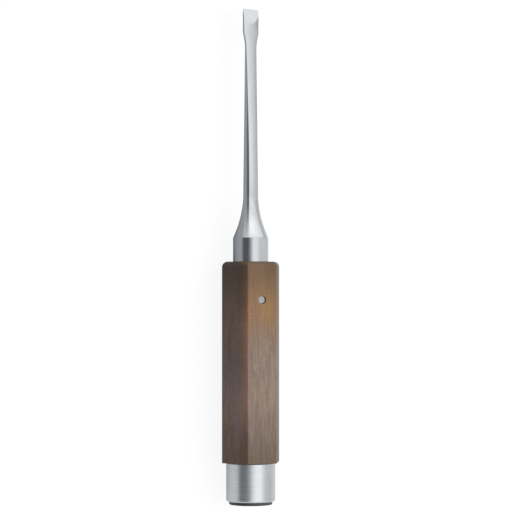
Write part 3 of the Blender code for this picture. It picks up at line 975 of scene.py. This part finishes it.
# The paper's glow in the metal, dimmed by place as painted shade that is darkest left of the tool:
# left of the tool, right of its handle and tip, and at its butt
PAPER_GLOW_LEFT = 0.02
PAPER_GLOW_RIGHT = 0.34
PAPER_GLOW_RIGHT_OF_TIP = 0.08
PAPER_GLOW_BUTT = 0.30

# The softbox gives the flats their shading and is kept out of reflections, which show the room
SOFTBOX_CENTRE = (0.36, -0.03, 0.52)
SOFTBOX_WIDTH = 0.40
SOFTBOX_LENGTH = 0.60
SOFTBOX_WATTS = 1.8

# The walls' shadows are bluer: fully up to the one strength, and not at all from the other
WALL_SHADE_TINT = linear("#F0F7FF")
WALL_TINTED_TO = 0.4
WALL_WHITE_FROM = 0.95

# The room's brightness: for each lean of a direction toward the cutting edge, the shade by angle
# from +X up over the tool, in degrees. The bright band stands higher as the lean grows.
ROOM = (
    (-0.60, (
        (0, 0.75), (45, 1.02), (95, 1.02), (130, 0.50), (160, 0.40), (180, 0.70))),
    (-0.36, (
        (0, 0.75), (30, 0.80), (50, 0.98), (65, 1.18), (95, 1.18), (108, 0.98), (125, 0.40),
        (160, 0.25), (172, 0.50), (180, 0.70))),
    (-0.08, (
        (0, 0.58), (38, 0.54), (46, 0.58), (54, 0.86), (62, 1.38), (72, 1.50), (94, 1.26),
        (111, 0.76), (128, 0.28), (142, 0.21), (164, 0.21), (172, 0.46), (178, 0.74))),
    (0.0, (
        (0, 0.76), (20, 0.80), (55, 0.78), (64, 0.88), (80, 1.20), (97, 1.20), (106, 0.86),
        (117, 0.36), (126, 0.11), (140, 0.07), (168, 0.07), (173, 0.40), (180, 0.46))),
    (0.045, (
        (0, 0.84), (4, 0.96), (8, 1.20), (12, 1.38), (18, 1.38), (30, 1.20), (97, 1.10),
        (108, 0.84), (120, 0.32), (130, 0.14), (154, 0.15), (166, 0.36), (173, 0.50))),
    (0.09, (
        (0, 0.84), (5, 0.94), (8, 1.08), (12, 1.24), (97, 1.10), (115, 0.70), (138, 0.28),
        (152, 0.24), (166, 0.42), (175, 0.52))),
    (0.27, (
        (0, 1.04), (7, 1.10), (16, 1.26), (60, 1.12), (100, 0.85), (120, 0.46), (138, 0.18),
        (155, 0.15), (168, 0.40), (175, 0.56))),
    (0.42, (
        (0, 0.98), (17, 1.04), (35, 1.16), (55, 1.36), (78, 1.24), (100, 0.94), (120, 0.60),
        (135, 0.38), (148, 0.32), (160, 0.54), (171, 0.68), (180, 0.56))),
    (0.53, (
        (0, 0.98), (23, 1.18), (42, 1.34), (60, 1.46), (80, 1.58), (94, 1.50), (105, 1.28),
        (133, 0.84), (148, 0.72), (162, 0.80), (172, 0.72), (180, 0.60))),
    (0.60, (
        (0, 1.00), (20, 1.12), (40, 1.36), (60, 1.51), (85, 1.65), (101, 1.62), (117, 1.32),
        (130, 1.02), (142, 0.90), (158, 0.88), (180, 0.60))),
    (0.75, (
        (0, 0.85), (30, 1.12), (105, 1.16), (140, 0.80), (180, 0.60))),
)


def lay_floor(colours):
    deselect_all()
    bpy.ops.mesh.primitive_plane_add(size=FLOOR_SIZE, location=(0, 0, -FLOOR_BELOW))
    floor = named("studio_floor")
    floor.data.materials.append(backdrop_paper(colours))


def hang_softbox():
    light = bpy.data.lights.new("softbox", "AREA")
    light.shape = "RECTANGLE"
    light.size = SOFTBOX_WIDTH
    light.size_y = SOFTBOX_LENGTH
    light.energy = SOFTBOX_WATTS
    lamp = bpy.data.objects.new("softbox", light)
    bpy.context.scene.collection.objects.link(lamp)
    lamp.location = SOFTBOX_CENTRE
    lamp.rotation_mode = "QUATERNION"
    aim = Vector((0, SOFTBOX_CENTRE[1], AXIS_HEIGHT)) - Vector(SOFTBOX_CENTRE)
    lamp.rotation_quaternion = aim.to_track_quat("-Z", "Y")
    lamp.visible_glossy = False


def wall_shade(tree, angle, shades):
    """A grey ramp over the angle, which runs from 0 to 1 as the shades' degrees run to 180."""
    ramp = add_node(tree, "ShaderNodeValToRGB", {}, {"Fac": angle})
    brightest = max(shade for _, shade in shades)
    stops = ramp.color_ramp.elements
    while len(stops) < len(shades):
        stops.new(0.5)
    for stop, (degrees, shade) in zip(stops, shades):
        stop.position = degrees / 180
        stop.color = (shade / brightest, shade / brightest, shade / brightest, 1)
    return add_node(tree, "ShaderNodeMath", {"operation": "MULTIPLY"}, {
        0: ramp.outputs["Color"], 1: brightest,
    }).outputs["Value"]


def light_room():
    """A pale room whose walls are darker at the tool's left, and white to the camera."""
    world = bpy.data.worlds.new("pale_room")
    world.use_nodes = True
    tree = world.node_tree
    tree.nodes.clear()
    split = add_node(tree, "ShaderNodeSeparateXYZ", {}, {
        "Vector": add_node(tree, "ShaderNodeTexCoord").outputs["Generated"],
    })
    angle = add_node(tree, "ShaderNodeMath", {"operation": "ARCTAN2"}, {
        0: split.outputs["Z"], 1: split.outputs["X"],
    })
    half_turns = add_node(tree, "ShaderNodeMath", {"operation": "DIVIDE"}, {
        0: angle.outputs["Value"], 1: math.pi,
    })
    reached, shades = ROOM[0]
    walls = wall_shade(tree, half_turns.outputs["Value"], shades)
    for lean, shades in ROOM[1:]:
        share = add_node(tree, "ShaderNodeMapRange", {}, {
            "Value": split.outputs["Y"], "From Min": reached, "From Max": lean,
        }).outputs["Result"]
        walls = add_node(tree, "ShaderNodeMix", {"data_type": "FLOAT"}, {
            0: share, 2: walls, 3: wall_shade(tree, half_turns.outputs["Value"], shades),
        }).outputs[0]
        reached = lean
    path = add_node(tree, "ShaderNodeLightPath")
    seen = add_node(tree, "ShaderNodeMix", {"data_type": "FLOAT"}, {
        0: path.outputs["Is Camera Ray"], 2: walls, 3: 1.0,
    })
    whiteness = add_node(tree, "ShaderNodeMapRange", {}, {
        "Value": seen.outputs[0], "From Min": WALL_TINTED_TO, "From Max": WALL_WHITE_FROM,
    })
    background = add_node(tree, "ShaderNodeBackground", {}, {
        "Color": coated(tree, WALL_SHADE_TINT, (1, 1, 1, 1), whiteness.outputs["Result"]),
        "Strength": seen.outputs[0],
    })
    output = add_node(tree, "ShaderNodeOutputWorld")
    tree.links.new(background.outputs["Background"], output.inputs["Surface"])
    bpy.context.scene.world = world


def place_camera():
    back = Vector((-math.cos(CAMERA_ELEVATION), 0, math.sin(CAMERA_ELEVATION)))
    right = Vector((math.sin(CAMERA_ELEVATION), 0, math.cos(CAMERA_ELEVATION)))
    up = Vector((0, 1, 0))
    middle_y = EDGE_Y - (FRAME_PIXELS / 2 - EDGE_ROW) / PIXELS_PER_METRE
    aim = Vector((0, middle_y, AXIS_HEIGHT))
    aim += right * (FRAME_PIXELS / 2 - AXIS_COLUMN) / PIXELS_PER_METRE
    data = bpy.data.cameras.new("camera")
    data.sensor_width = SENSOR_WIDTH
    data.lens = SENSOR_WIDTH * CAMERA_DISTANCE * PIXELS_PER_METRE / FRAME_PIXELS
    data.clip_start = 0.05
    data.clip_end = 20
    camera = bpy.data.objects.new("camera", data)
    bpy.context.scene.collection.objects.link(camera)
    turn_matrix = Matrix((right, up, back)).transposed().to_4x4()
    camera.matrix_world = Matrix.Translation(aim + back * CAMERA_DISTANCE) @ turn_matrix
    bpy.context.scene.camera = camera


class OSTEOTOME_OT_stage(bpy.types.Operator):
    """Sets the pale floor, the soft light and the camera"""
    bl_idname = "osteotome.stage"
    bl_label = "Stage"

    def execute(self, context):
        colours = context.scene.osteotome_colours
        lay_floor(colours)
        hang_softbox()
        light_room()
        place_camera()
        context.scene.view_settings.view_transform = "Standard"
        return {"FINISHED"}


class OSTEOTOME_PT_sidebar(bpy.types.Panel):
    """Sizes, colours and the steps that build the tool"""
    bl_idname = "OSTEOTOME_PT_sidebar"
    bl_label = "Osteotome"
    bl_space_type = "VIEW_3D"
    bl_region_type = "UI"
    bl_category = "Osteotome"

    def draw(self, context):
        layout = self.layout
        for operator in OPERATORS:
            layout.operator(operator.bl_idname)
        for group in (
            context.scene.osteotome_blade,
            context.scene.osteotome_handle,
            context.scene.osteotome_colours,
        ):
            box = layout.box()
            for name in group.bl_rna.properties.keys():
                if name not in {"rna_type", "name"}:
                    box.prop(group, name)


OPERATORS = (
    OSTEOTOME_OT_blade,
    OSTEOTOME_OT_handle,
    OSTEOTOME_OT_striking_ring,
    OSTEOTOME_OT_cross_pin,
    OSTEOTOME_OT_stage,
)
GROUPS = {
    "osteotome_blade": OsteotomeBladeSizes,
    "osteotome_handle": OsteotomeHandleSizes,
    "osteotome_colours": OsteotomeColours,
}


def register():
    for cls in (*GROUPS.values(), *OPERATORS, OSTEOTOME_PT_sidebar):
        bpy.utils.register_class(cls)
    for name, group in GROUPS.items():
        setattr(bpy.types.Scene, name, bpy.props.PointerProperty(type=group))


def unregister():
    for name in GROUPS:
        delattr(bpy.types.Scene, name)
    for cls in (OSTEOTOME_PT_sidebar, *reversed(OPERATORS), *reversed(list(GROUPS.values()))):
        bpy.utils.unregister_class(cls)


def main():
    register()
    bpy.ops.osteotome.blade()
    bpy.ops.osteotome.handle()
    bpy.ops.osteotome.striking_ring()
    bpy.ops.osteotome.cross_pin()
    bpy.ops.osteotome.stage()


if __name__ == "__main__":
    main()
